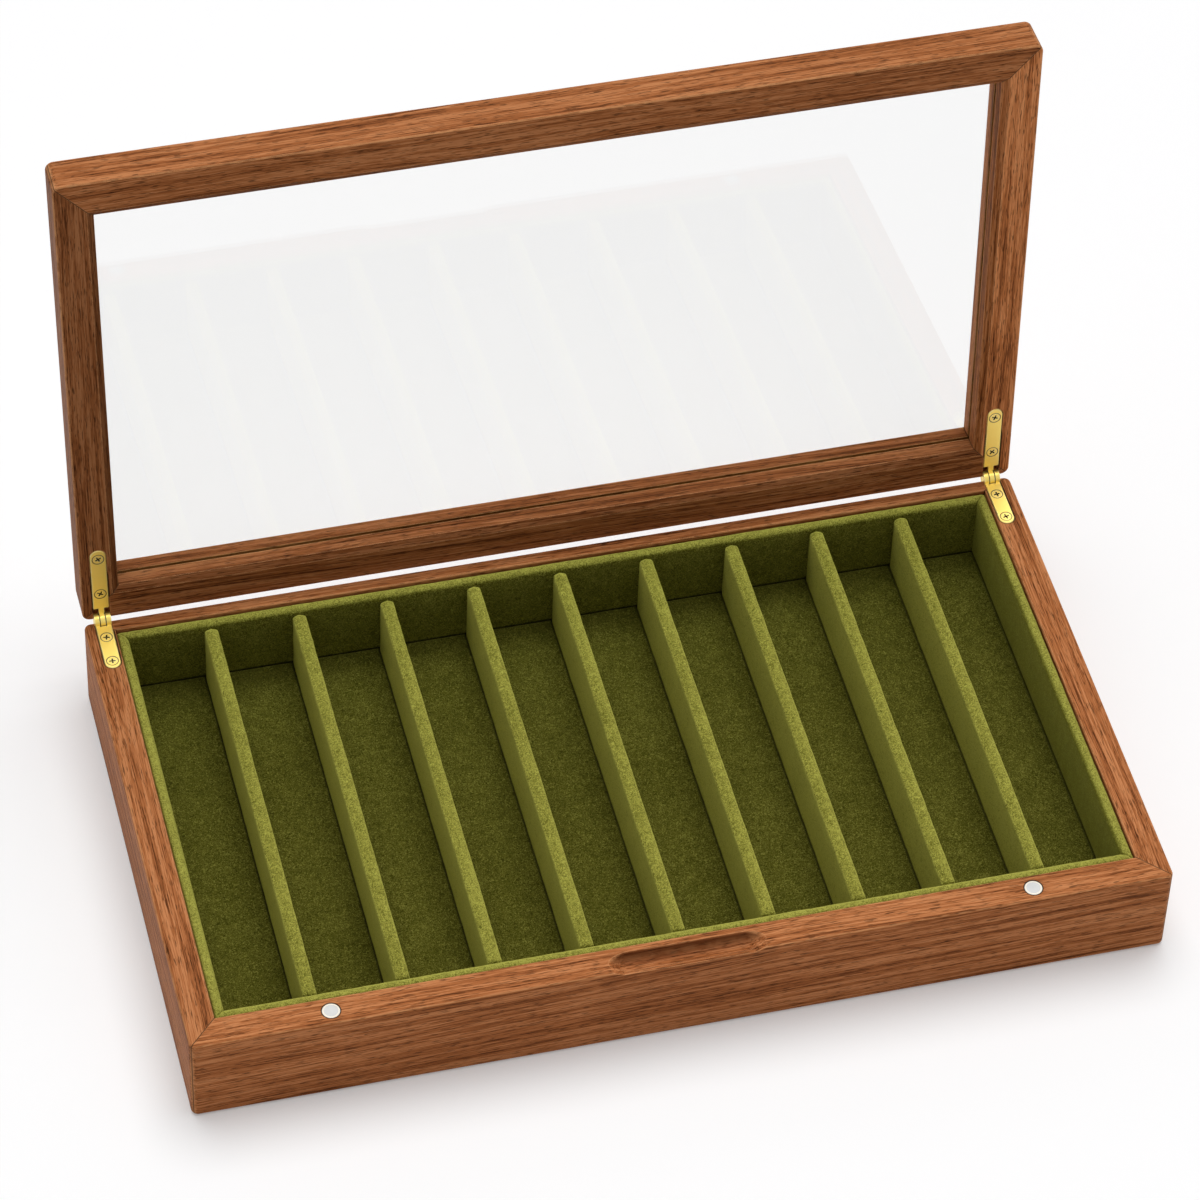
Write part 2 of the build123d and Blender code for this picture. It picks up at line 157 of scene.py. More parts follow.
class Nodes:
    """Short words for building one node tree."""

    def __init__(self, tree):
        self.tree = tree

    def add(self, kind, **settings):
        node = self.tree.nodes.new(kind if kind.startswith("Node") else "ShaderNode" + kind)
        for name, value in settings.items():
            setattr(node, name, value)
        return node

    def feed(self, socket, value):
        """Links a socket, or sets its constant."""
        if isinstance(value, bpy.types.NodeSocket):
            self.tree.links.new(value, socket)
        elif socket.type == "RGBA":
            socket.default_value = (*value[:3], 1.0)
        elif socket.type == "VECTOR" and isinstance(value, (int, float)):
            socket.default_value = (value, value, value)
        else:
            socket.default_value = value

    def fill(self, node, *values, **named):
        """Feeds a node's inputs, in order or by name. An underscore stands for a space."""
        for socket, value in zip(node.inputs, values):
            self.feed(socket, value)
        for name, value in named.items():
            self.feed(node.inputs[name.replace("_", " ")], value)
        return node

    def maths(self, operation, *values, clamp=False):
        return self.fill(self.add("Math", operation=operation, use_clamp=clamp), *values).outputs[0]

    def plus(self, first, second):
        return self.maths("ADD", first, second)

    def minus(self, first, second):
        return self.maths("SUBTRACT", first, second)

    def times(self, first, second):
        return self.maths("MULTIPLY", first, second)

    def vector(self, operation, *values):
        node = self.fill(self.add("VectorMath", operation=operation), *values)
        return node.outputs["Value" if operation in ("DOT_PRODUCT", "LENGTH") else "Vector"]

    def parts(self, place):
        """The x, y and z of a place."""
        return list(self.fill(self.add("SeparateXYZ"), place).outputs)

    def joined(self, x=0.0, y=0.0, z=0.0):
        """The place with that x, y and z."""
        return self.fill(self.add("CombineXYZ"), x, y, z).outputs[0]

    def mirrored(self, place):
        """The place seen from above, on the right half of the case."""
        x, y = self.parts(place)[:2]
        return self.joined(self.maths("ABSOLUTE", x), y)

    def mix(self, factor, first, second, blend="MIX"):
        node = self.add("Mix", data_type="RGBA", blend_type=blend)
        self.feed(node.inputs[0], factor)
        self.feed(node.inputs[6], first)
        self.feed(node.inputs[7], second)
        return node.outputs[2]

    def noise(self, place, scale, detail=2.0, roughness=0.5, distortion=0.0):
        """Noise of one size, or stretched by a size for each axis."""
        if isinstance(scale, tuple):
            place = self.vector("MULTIPLY", place, scale)
            scale = 1.0
        return self.fill(
            self.add("TexNoise"), Vector=place, Scale=scale, Detail=detail,
            Roughness=roughness, Distortion=distortion).outputs[0]

    def span(self, value, low, high, start=0.0, end=1.0):
        """Maps low to high softly onto start to end, and holds the ends."""
        node = self.add("MapRange", interpolation_type="SMOOTHSTEP")
        return self.fill(node, value, low, high, start, end).outputs[0]

    def hair_line(self, distance, width, core=0.35):
        """1 where a line runs and 0 beside it, from the distance to its middle."""
        return self.span(self.maths("DIVIDE", distance, width), core, 1.0, 1.0, 0.0)

    def group(self, build, **values):
        """Places a shared effect, which is built the first time it is asked for."""
        name = build.__name__.replace("_", " ").capitalize()
        if name not in bpy.data.node_groups:
            build(name)
        return self.fill(self.add("Group", node_tree=bpy.data.node_groups[name]), **values).outputs

    def object_place(self):
        return self.add("TexCoord").outputs["Object"]

    def moved(self, place, matrix):
        """The same place after a turn and a shift."""
        node = self.add("Mapping", vector_type="POINT")
        return self.fill(node, place, matrix.to_translation(), matrix.to_euler("XYZ")).outputs[0]

    def bump(self, height, distance, strength=1.0):
        return self.fill(self.add("Bump"), Height=height, Distance=distance, Strength=strength).outputs[0]


SOCKETS = {"vector": "NodeSocketVector", "colour": "NodeSocketColor", "value": "NodeSocketFloat"}


def new_group(name, takes, gives):
    """Starts an effect: its nodes, what it takes and the node that gives its outputs."""
    group = bpy.data.node_groups.new(name, "ShaderNodeTree")
    for side, sockets in (("INPUT", takes), ("OUTPUT", gives)):
        for label, kind in sockets.items():
            group.interface.new_socket(name=label, in_out=side, socket_type=SOCKETS[kind])
    nodes = Nodes(group)
    return nodes, nodes.add("NodeGroupInput").outputs, nodes.add("NodeGroupOutput")


def bare_nodes(owner):
    """The emptied node tree of a material or a world."""
    owner.use_nodes = True
    owner.node_tree.nodes.clear()
    return Nodes(owner.node_tree)


# Effects shared by the materials


def wood_grain(name):
    """Straight walnut grain along X: streaks, fibres and open pores."""
    nodes, take, give = new_group(
        name,
        {"Place": "vector", "Pale": "colour", "Body": "colour", "Dark": "colour"},
        {"Color": "colour", "Height": "value", "Roughness": "value"})
    sway = nodes.noise(take["Place"], (4.0, 22.0, 22.0))
    sway = nodes.times(nodes.minus(sway, 0.5), 9 * MM)
    place = nodes.vector("ADD", take["Place"], nodes.joined(y=sway, z=sway))
    cloud = nodes.noise(place, (7.0, 60.0, 60.0))
    streak = nodes.noise(place, (5.0, 460.0, 460.0), detail=4.0, roughness=0.6, distortion=0.1)
    thread = nodes.noise(place, (15.0, 1400.0, 1400.0), detail=3.0, roughness=0.65)
    fibre = nodes.noise(place, (80.0, 3200.0, 3200.0), roughness=0.7)
    pore = nodes.span(nodes.noise(place, (210.0, 2900.0, 2900.0), detail=1.0), 0.58, 0.68)
    tone = nodes.times(cloud, 0.30)
    layers = ((streak, 0.34, 0.60, 0.36), (thread, 0.34, 0.66, 0.34), (fibre, 0.34, 0.66, 0.32))
    for layer, low, high, weight in layers:
        tone = nodes.plus(tone, nodes.times(nodes.span(layer, low, high), weight))
    low = nodes.mix(nodes.span(tone, 0.26, 0.62), take["Dark"], take["Body"])
    wood = nodes.mix(nodes.span(tone, 0.58, 1.00), low, take["Pale"])
    dim = nodes.minus(1.0, nodes.times(pore, 0.62))
    grain_height = nodes.minus(nodes.times(fibre, 0.4), pore)
    nodes.fill(
        give, Color=nodes.mix(1.0, wood, dim, "MULTIPLY"),
        Height=nodes.plus(grain_height, nodes.times(thread, 0.25)),
        Roughness=nodes.times(nodes.minus(fibre, 0.5), 0.25))


def mitre_line(name):
    """Dark hair line where two rails meet: distance from the mitre through an outer and an inner corner."""
    nodes, take, give = new_group(
        name,
        {"Place": "vector", "Front Outer": "vector", "Front Inner": "vector",
         "Back Outer": "vector", "Back Inner": "vector", "Width": "value"},
        {"Mask": "value"})
    flat = nodes.mirrored(take["Place"])
    masks = []
    for end in ("Front", "Back"):
        along = nodes.vector("SUBTRACT", take[end + " Inner"], take[end + " Outer"])
        across = nodes.vector("NORMALIZE", nodes.vector("CROSS_PRODUCT", along, (0.0, 0.0, 1.0)))
        away = nodes.vector("SUBTRACT", flat, take[end + " Outer"])
        distance = nodes.maths("ABSOLUTE", nodes.vector("DOT_PRODUCT", away, across))
        reach = nodes.vector("DOT_PRODUCT", away, along)
        whole = nodes.times(nodes.vector("DOT_PRODUCT", along, along), 1.6)
        line = nodes.hair_line(distance, take["Width"], 0.25)
        masks.append(nodes.times(line, nodes.maths("LESS_THAN", reach, whole)))
    nodes.fill(give, Mask=nodes.maths("MAXIMUM", *masks))


def worn_arris(name):
    """Broken mask of the sharp edges, where a painted highlight goes."""
    nodes, take, give = new_group(name, {"Place": "vector", "Radius": "value"}, {"Mask": "value"})
    bevel = nodes.fill(nodes.add("Bevel", samples=6), Radius=take["Radius"])
    surface = nodes.add("NewGeometry").outputs["Normal"]
    along = nodes.vector("DOT_PRODUCT", bevel.outputs[0], surface)
    edge = nodes.span(nodes.minus(1.0, along), 0.002, 0.026)
    broken = nodes.span(nodes.noise(take["Place"], 350.0), 0.30, 0.62, 0.30, 1.0)
    nodes.fill(give, Mask=nodes.times(edge, broken))


def fitted_ring(name):
    """Thin ring round a disc, at two places and their mirror images across the case."""
    nodes, take, give = new_group(
        name,
        {"Place": "vector", "First": "vector", "Second": "vector", "Radius": "value", "Width": "value"},
        {"Mask": "value"})
    flat = nodes.mirrored(take["Place"])
    away = [nodes.vector("LENGTH", nodes.vector("SUBTRACT", flat, take[end])) for end in ("First", "Second")]
    off = nodes.maths("ABSOLUTE", nodes.minus(nodes.maths("MINIMUM", *away), take["Radius"]))
    nodes.fill(give, Mask=nodes.hair_line(off, take["Width"]))


def leaf_outline(name):
    """Thin dark joint round a leaf let into a side rail, from its round front end to the hinge."""
    nodes, take, give = new_group(
        name, {"Place": "vector", "Front": "vector", "Radius": "value", "Width": "value"}, {"Mask": "value"})
    x, y = nodes.parts(nodes.vector("SUBTRACT", nodes.mirrored(take["Place"]), take["Front"]))[:2]
    away = nodes.vector("LENGTH", nodes.joined(x, nodes.maths("MINIMUM", y, 0.0)))
    off = nodes.maths("ABSOLUTE", nodes.minus(away, take["Radius"]))
    nodes.fill(give, Mask=nodes.hair_line(off, take["Width"]))


def rounded_arris(name):
    """Masks of a rail's outer rounded edges, for a painted highlight, and of its inner bevel and inner wall,
    for painted shade.
    """
    nodes, take, give = new_group(
        name, {"Place": "vector", "Normal": "vector"}, {"Outer": "value", "Inner": "value"})
    x, y, z = nodes.parts(nodes.vector("ABSOLUTE", take["Normal"]))
    most = nodes.maths("MAXIMUM", nodes.maths("MAXIMUM", x, y), z)
    turned = nodes.span(most, 0.74, 0.97, 1.0, 0.0)
    flat = nodes.vector("MULTIPLY", take["Normal"], (1.0, 1.0, 0.0))
    facing = nodes.vector("DOT_PRODUCT", flat, take["Place"])
    outward = nodes.span(facing, 0.0, 0.02)
    inward = nodes.span(facing, -0.03, -0.01, 1.0, 0.0)
    broken = nodes.span(nodes.noise(take["Place"], 260.0, detail=3.0), 0.35, 0.62, 0.25, 1.0)
    nodes.fill(
        give, Outer=nodes.times(nodes.times(turned, outward), broken),
        Inner=nodes.times(nodes.maths("MAXIMUM", turned, 0.42), inward))


def velvet_nap(name):
    """Short pile brushed every way: fine tufts, soft blotches and the marks of stroking."""
    nodes, take, give = new_group(
        name,
        {"Place": "vector", "Nap Size": "value", "Shade": "colour", "Pile": "colour", "Tips": "colour"},
        {"Color": "colour", "Height": "value", "Tips": "value"})
    place = take["Place"]
    tuft_scale = nodes.maths("DIVIDE", 0.75, take["Nap Size"])
    tuft = nodes.noise(place, tuft_scale, detail=1.5, roughness=0.65, distortion=2.2)
    fine = nodes.noise(place, nodes.times(tuft_scale, 2.4), detail=1.0, distortion=1.2)
    blotch = nodes.noise(place, 130.0, detail=3.0, roughness=0.6, distortion=0.8)
    stroke = nodes.noise(place, 24.0)
    pile = nodes.times(tuft, 0.66)
    for layer, weight in ((fine, 0.20), (blotch, 0.09), (stroke, 0.05)):
        pile = nodes.plus(pile, nodes.times(layer, weight))
    low = nodes.mix(nodes.span(pile, 0.38, 0.51), take["Shade"], take["Pile"])
    lit = nodes.times(nodes.span(pile, 0.505, 0.64), 0.70)
    nodes.fill(
        give, Color=nodes.mix(lit, low, take["Tips"]), Tips=nodes.span(pile, 0.40, 0.62),
        Height=nodes.plus(tuft, nodes.times(fine, 0.5)))


def handled_metal(name):
    """Polished metal with faint scratches and a breath of tarnish."""
    nodes, take, give = new_group(
        name,
        {"Place": "vector", "Clean": "colour", "Tarnished": "colour", "Amount": "value", "Smooth": "value"},
        {"Color": "colour", "Roughness": "value", "Height": "value"})
    brushed = nodes.noise(take["Place"], (2600.0, 260.0, 260.0))
    smear = nodes.noise(take["Place"], 150.0, detail=3.0, roughness=0.6)
    stain = nodes.times(nodes.span(smear, 0.40, 0.75), take["Amount"])
    rough = nodes.plus(take["Smooth"], nodes.times(stain, 0.15))
    nodes.fill(
        give, Color=nodes.mix(stain, take["Clean"], take["Tarnished"]),
        Roughness=nodes.plus(rough, nodes.times(brushed, 0.06)), Height=brushed)


# Materials


MITRE_WIDTH = 0.26 * MM
LEAF_JOINT = 0.36 * MM
LEAF_GAP = 0.16 * MM
MAGNET_JOINT = 0.34 * MM
MAGNET_GAP = 0.12 * MM
SCREW_JOINT = 0.26 * MM
SCREW_RADIUS = 2.12 * MM
SCOOP_REACH = 30 * MM
TONGUE_EDGE = 1.08 * MM
KNUCKLE_REACH = 3.0 * MM
SCREWS_APART = 3 * MM
GLASS_IN_GROOVE = 3.75 * MM
WOOD_JOINT = (0.018, 0.008, 0.004)
VELVET_CREASE_SHADE = (0.010, 0.009, 0.001)
METAL_JOINT_AND_SHADE = (0.05, 0.03, 0.01)
# Colour of the painted highlight along the brass edges.
BRASS_EDGE_HIGHLIGHT = (1.0, 0.93, 0.50)


def new_material(name):
    """A material with an empty tree but for one Principled shader on its output."""
    material = bpy.data.materials.new(name)
    nodes = bare_nodes(material)
    shader = nodes.add("BsdfPrincipled")
    nodes.fill(nodes.add("OutputMaterial"), shader.outputs[0])
    return material, nodes, shader


def closed_points(member, moves_with_lid):
    """The points of a node's mesh, with the lid closed."""
    place = close_lid if moves_with_lid else Matrix.Identity(4)
    return [place @ vertex.co for vertex in frame["nodes"][member].data.vertices]


def closed_box(member, moves_with_lid):
    """Lowest and highest corner of a node, with the lid closed."""
    points = closed_points(member, moves_with_lid)
    return [Vector([pick(point[i] for point in points) for i in range(3)]) for pick in (min, max)]


def frame_corners(prefix, moves_with_lid):
    """Outer and inner corners, front and back, of the mitred frame whose rails carry that prefix."""
    front, back, right = (
        closed_box(f"{prefix}_{side}_rail", moves_with_lid) for side in ("front", "back", "right"))
    outer_x = right[1].x
    inner_x = right[0].x
    return {
        "Front_Outer": (outer_x, front[0].y, 0.0), "Front_Inner": (inner_x, front[1].y, 0.0),
        "Back_Outer": (outer_x, back[1].y, 0.0), "Back_Inner": (inner_x, back[0].y, 0.0),
    }


def toned(tone, *colours):
    """The colours, each times a tone."""
    return [[tone * part for part in plain] for plain in colours]


def walnut_material(name, grain, corners, moves_with_lid, tone, settings):
    """Oiled walnut whose grain runs as the given matrix turns it, with dark mitres at the frame's corners, a
    painted highlight along its edges, and painted shade inside the lid's opening and in the finger scoop.
    """
    material, nodes, shader = new_material(name)
    source = nodes.add("TexCoord").outputs
    place = source["Object"]
    normal = source["Normal"]
    if moves_with_lid:
        place = nodes.moved(place, close_lid)
        normal = nodes.moved(normal, closing_turn)
    pale, body, dark = toned(tone, settings.pale, settings.body, settings.dark)
    figure = nodes.group(wood_grain, Place=nodes.moved(place, grain), Pale=pale, Body=body, Dark=dark)
    sharp = nodes.group(worn_arris, Place=place, Radius=settings.arris_radius)["Mask"]
    rounded = nodes.group(rounded_arris, Place=place, Normal=normal)
    mitre = nodes.group(mitre_line, Place=place, Width=MITRE_WIDTH, **corners)["Mask"]
    # Painted highlight along the sharp edges and along the outer rounded edges.
    wood_edge_highlight = nodes.maths("MAXIMUM", sharp, nodes.times(rounded["Outer"], 0.8))
    wood = figure["Color"]
    if moves_with_lid:
        # Painted shade on the lid's inner bevel and inner wall, inside the opening.
        shaded = nodes.mix(1.0, wood, (0.45, 0.41, 0.38), "MULTIPLY")
        wood = nodes.mix(rounded["Inner"], wood, shaded)
    wood = nodes.mix(nodes.times(wood_edge_highlight, 0.66), wood, settings.worn)
    joint = nodes.times(mitre, 0.78)
    if name == "walnut_case_front":
        scoop_shade, hole = scoop_and_magnet_masks(nodes, place)
        # Painted shade in the finger scoop, darkest at its back wall.
        wood = nodes.mix(scoop_shade, wood, nodes.mix(1.0, wood, (0.32, 0.26, 0.22), "MULTIPLY"))
        joint = nodes.maths("MAXIMUM", joint, nodes.times(hole, 0.85))
    if name.endswith(("left", "right")):
        low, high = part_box("case_hinge_leaf_right")
        half_leaf = (high.x - low.x) / 2
        front = (low.x + half_leaf, low.y + half_leaf, 0.0)
        leaf = nodes.group(
            leaf_outline, Place=place, Front=front, Radius=half_leaf + LEAF_GAP, Width=LEAF_JOINT)["Mask"]
        joint = nodes.maths("MAXIMUM", joint, nodes.times(leaf, 0.85))
    height = nodes.minus(figure["Height"], nodes.times(mitre, 2.0))
    nodes.fill(
        shader, Base_Color=nodes.mix(joint, wood, WOOD_JOINT),
        Roughness=nodes.plus(figure["Roughness"], settings.roughness),
        Normal=nodes.bump(height, settings.pore_depth), Specular_IOR_Level=0.03)
    return material


def magnet_place():
    """Middle of the right magnet, seen from above, and its radius."""
    low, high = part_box("magnet_right")
    centre = (low + high) / 2
    return (centre.x, centre.y, 0.0), (high.x - low.x) / 2


def scoop_and_magnet_masks(nodes, place):
    """Painted shade in the finger scoop cut into the front rail, darkest towards its back wall, and the joint
    round each magnet.
    """
    low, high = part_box("case_front_rail")
    middle, radius = magnet_place()
    x, y, z = nodes.parts(place)
    below = nodes.span(z, high.z - 0.9 * MM, high.z - 0.12 * MM, 1.0, 0.0)
    near = nodes.span(nodes.maths("ABSOLUTE", x), SCOOP_REACH, SCOOP_REACH + 3 * MM, 1.0, 0.0)
    behind_lip = nodes.span(y, low.y + 3.4 * MM, low.y + 8.2 * MM, 0.12, 1.0)
    scoop_shade = nodes.times(nodes.times(below, near), behind_lip)
    ring = nodes.group(
        fitted_ring, Place=place, First=middle, Second=middle,
        Radius=radius + MAGNET_GAP, Width=MAGNET_JOINT)["Mask"]
    return scoop_shade, ring


def board_foot(nodes, place):
    """Mask of the painted shade in the crease at the foot of a board."""
    floor_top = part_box("liner_floor_pad")[1].z
    return nodes.span(nodes.parts(place)[2], floor_top - 0.1 * MM, floor_top + 0.8 * MM, 0.85, 0.0)


def floor_joints(nodes, place):
    """Mask of the painted shade on the floor beside each divider. The walls stand where further dividers
    would.
    """
    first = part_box("divider_1")
    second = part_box("divider_2")
    centre = (first[0].x + first[1].x) / 2
    half = (first[1].x - first[0].x) / 2
    pitch = abs(second[0].x - first[0].x)
    off_centre = nodes.maths("PINGPONG", nodes.minus(nodes.parts(place)[0], centre), pitch / 2)
    return nodes.span(off_centre, half + 0.1 * MM, half + 1.2 * MM, 0.85, 0.0)


def velvet_material(name, settings, joints, tone, turned=0.0, left_face_light=0.0, sheen=0.0):
    """Olive pile with painted light and shade: lighter on the tops of boards, lighter or darker by the set
    amount on faces turned left, lighter with a painted sheen where seen edge-on, and darker in the crease at
    the floor.
    """
    material, nodes, shader = new_material(name)
    place = nodes.object_place()
    shade, pile, tips = toned(tone, settings.shade, settings.pile, settings.tips)
    nap = nodes.group(velvet_nap, Place=place, Nap_Size=settings.nap_size, Shade=shade, Pile=pile, Tips=tips)
    normal = nodes.parts(nodes.add("NewGeometry").outputs["True Normal"])
    facing = nodes.fill(nodes.add("LayerWeight"), Blend=0.5).outputs["Facing"]

    def on_tips(amount, on_tip, between):
        return nodes.times(amount, nodes.plus(nodes.times(nap["Tips"], on_tip), between))

    # Painted light on the tops of boards, where they face up.
    painted_top_light = on_tips(nodes.times(nodes.span(normal[2], 0.25, 0.95), turned), 0.85, 0.33)
    # Painted light on faces turned left, or painted shade where the amount is negative.
    painted_left_light = on_tips(nodes.times(nodes.span(normal[0], -0.35, -0.95), left_face_light), 1.6, 0.02)
    # Painted sheen: the pile is lifted towards its tips colour where the surface is seen edge-on.
    rim = on_tips(nodes.times(nodes.maths("POWER", facing, 2.0), 1.9), 0.9, 0.45)
    lift = nodes.maths("ADD", rim, nodes.plus(painted_top_light, painted_left_light), clamp=True)
    lit = nodes.mix(lift, nap["Color"], tips)
    # Painted shade in the crease where the velvet meets the floor or a board.
    nodes.fill(
        shader, Base_Color=nodes.mix(joints(nodes, place), lit, VELVET_CREASE_SHADE),
        Normal=nodes.bump(nap["Height"], 0.5 * MM, 0.8), Roughness=0.95, Specular_IOR_Level=0.03,
        Sheen_Weight=0.06 + 0.22 * sheen, Sheen_Roughness=0.30, Sheen_Tint=(0.82, 0.80, 0.14))
    return material


def metal_material(name, clean, tarnished, amount, smooth, edge, dark=None):
    """Polished metal with a painted highlight along its edges. dark builds a mask of its joints and recesses
    from the nodes; the recess part is painted shade.
    """
    material, nodes, shader = new_material(name)
    place = nodes.object_place()
    finish = nodes.group(
        handled_metal, Place=place, Clean=clean, Tarnished=tarnished, Amount=amount, Smooth=smooth)
    metal_edge_highlight = nodes.group(worn_arris, Place=place, Radius=0.45 * MM)["Mask"]
    # Painted highlight: the metal is lightened towards the edge colour along its edges.
    metal = nodes.mix(nodes.times(metal_edge_highlight, 0.8), finish["Color"], edge)
    if dark is not None:
        # Dark joints, and painted shade in the screws' recesses.
        metal = nodes.mix(nodes.times(dark(nodes, place), 0.9), metal, METAL_JOINT_AND_SHADE)
    nodes.fill(
        shader, Base_Color=metal, Roughness=finish["Roughness"],
        Normal=nodes.bump(finish["Height"], 0.004 * MM, 0.5), Metallic=0.85)
    return material


def screw_places(node, moves_with_lid):
    """Centres of the two screws on the right, with the lid closed, and the height of their heads."""
    points = [point for point in closed_points(node, moves_with_lid) if point.x > 0]
    points.sort(key=lambda point: point.y)
    groups = [[points[0]]]
    for point in points[1:]:
        if point.y - groups[-1][-1].y > SCREWS_APART:
            groups.append([])
        groups[-1].append(point)
    if len(groups) != 2:
        raise RuntimeError(f"{node} should have two screws on each side")
    centres = []
    for group in groups:
        x, y = ((min(p[i] for p in group) + max(p[i] for p in group)) / 2 for i in (0, 1))
        centres.append((x, y, 0.0))
    heights = [point.z for point in points]
    return centres, (min(heights) if moves_with_lid else max(heights))


def screw_joint(node, moves_with_lid):
    """Builds the dark joint round each screw's head."""
    first, second = screw_places(node, moves_with_lid)[0]

    def mask(nodes, place):
        closed = nodes.moved(place, close_lid) if moves_with_lid else place
        return nodes.group(
            fitted_ring, Place=closed, First=first, Second=second,
            Radius=SCREW_RADIUS, Width=SCREW_JOINT)["Mask"]
    return mask


def leaf_joints(body, moves_with_lid):
    """Builds the dark joints of a leaf: round its screws and where the knuckles meet."""
    screws = screw_joint(f"{body}_hinge_screws", moves_with_lid)
    low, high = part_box("case_hinge_leaf_right")
    centre = (low.x + high.x) / 2

    def mask(nodes, place):
        x = nodes.maths("ABSOLUTE", nodes.parts(place)[0])
        across = nodes.maths("ABSOLUTE", nodes.minus(x, centre))
        off = nodes.maths("ABSOLUTE", nodes.minus(across, TONGUE_EDGE))
        gap = nodes.span(off, 0.10 * MM, 0.30 * MM, 1.0, 0.0)
        away = nodes.vector("SUBTRACT", place, hinge_point)
        reach = nodes.vector("LENGTH", nodes.vector("MULTIPLY", away, (0.0, 1.0, 1.0)))
        knuckle = nodes.span(reach, KNUCKLE_REACH, KNUCKLE_REACH + 0.4 * MM, 1.0, 0.0)
        return nodes.maths("MAXIMUM", nodes.times(gap, knuckle), screws(nodes, place))
    return mask


def screw_recess(node, moves_with_lid):
    """Builds the painted shade in each screw's cross recess and the dark joint round its head."""
    joint = screw_joint(node, moves_with_lid)
    face = screw_places(node, moves_with_lid)[1]

    def mask(nodes, place):
        closed = nodes.moved(place, close_lid) if moves_with_lid else place
        depth = nodes.maths("ABSOLUTE", nodes.minus(nodes.parts(closed)[2], face))
        return nodes.maths("MAXIMUM", nodes.span(depth, 0.08 * MM, 0.35 * MM), joint(nodes, place))
    return mask


def magnet_material(name, settings):
    """Nickel disc with a painted highlight on its rim round a satin face."""
    middle, radius = magnet_place()
    material, nodes, shader = new_material(name)
    place = nodes.object_place()
    finish = nodes.group(
        handled_metal, Place=place, Clean=settings.nickel, Tarnished=(0.43, 0.44, 0.45),
        Amount=0.25, Smooth=0.62)
    rim = nodes.group(
        fitted_ring, Place=place, First=middle, Second=middle,
        Radius=0.87 * radius, Width=0.13 * radius)["Mask"]
    # Painted highlight on the rim of the disc.
    nodes.fill(
        shader, Base_Color=nodes.mix(rim, finish["Color"], (0.64, 0.60, 0.52)),
        Roughness=finish["Roughness"], Metallic=1.0,
        Normal=nodes.bump(nodes.times(rim, -1.0), 0.05 * MM, 0.5))
    return material


def glass_material(settings):
    """Clear pane that lets light through to what is behind it, with a painted green-tinted line of groove
    shade along its edge.
    """
    material, nodes, shader = new_material("clear_pane")
    low, high = closed_box("lid_glass", True)
    closed = nodes.moved(nodes.object_place(), close_lid)
    away = nodes.vector("ABSOLUTE", nodes.vector("SUBTRACT", closed, (low + high) / 2))
    inside = nodes.parts(nodes.vector("SUBTRACT", (high - low) / 2, away))
    nearest = nodes.maths("MINIMUM", inside[0], inside[1])
    # Painted shade of the groove along the pane's edge.
    edge = nodes.span(nearest, GLASS_IN_GROOVE, GLASS_IN_GROOVE + 0.55 * MM, 1.0, 0.0)
    nodes.fill(
        shader, Base_Color=nodes.mix(edge, settings.tint, settings.edge_tint),
        Roughness=0.0, IOR=1.46, Transmission_Weight=1.0)
    clear = nodes.fill(nodes.add("BsdfTransparent"), (0.90, 0.93, 0.90))
    shadow = nodes.add("LightPath").outputs["Is Shadow Ray"]
    through = nodes.fill(nodes.add("MixShader"), shadow, shader.outputs[0], clear.outputs[0])
    nodes.fill(nodes.tree.get_output_node("ALL"), through.outputs[0])
    return material


def dress(material, *names):
    """Gives carried-over nodes their material."""
    for name in names:
        mesh = frame["nodes"][name].data
        mesh.materials.clear()
        mesh.materials.append(material)


# Velvet meshes


def velvet_piece(node, name, points, faces, material):
    """A padded velvet mesh that rides on the case and stands for a node."""
    mesh = bpy.data.meshes.new(name)
    mesh.from_pydata(points, [], faces)
    mesh.validate()
    mesh.polygons.foreach_set("use_smooth", [True] * len(mesh.polygons))
    mesh.update()
    mesh.materials.append(material)
    piece = bpy.data.objects.new(name, mesh)
    bpy.context.scene.collection.objects.link(piece)
    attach(piece, "case")
    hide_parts(node)


def grid_faces(rows, columns):
    """Quads over a grid of points kept row by row."""
    faces = []
    for i in range(rows - 1):
        for first in range(i * columns, (i + 1) * columns - 1):
            faces.append((first, first + 1, first + 1 + columns, first + columns))
    return faces


def end_faces(rows, columns):
    """The two faces that close the first and the last row of a grid."""
    return [tuple(reversed(range(columns))), tuple(range((rows - 1) * columns, rows * columns))]


def ruffled(point, outward, amount):
    """The point pushed a little in or out, as pile wanders."""
    coarse = noise.noise(point * 160.0)
    fine = noise.noise(point * 900.0)
    return point + outward * amount * (coarse + 0.6 * fine)


def eased(count):
    """Numbers from 0 to 1, closer together near both ends."""
    return [0.5 - 0.5 * math.cos(math.pi * i / (count - 1)) for i in range(count)]


def fallen(distance, radius):
    """How far a rounded edge has dropped, at a distance in from its end."""
    left = max(0.0, 1.0 - distance / radius)
    return radius * (1 - math.sqrt(max(0.0, 1.0 - left * left)))


def quarter_round(count):
    """Pairs from (1, 0) to (0, 1) round an edge: how far down and how far in, as shares of its radius."""
    turns = [math.pi / 2 * i / (count - 1) for i in range(count)]
    return [(1 - math.sin(turn), 1 - math.cos(turn)) for turn in turns]


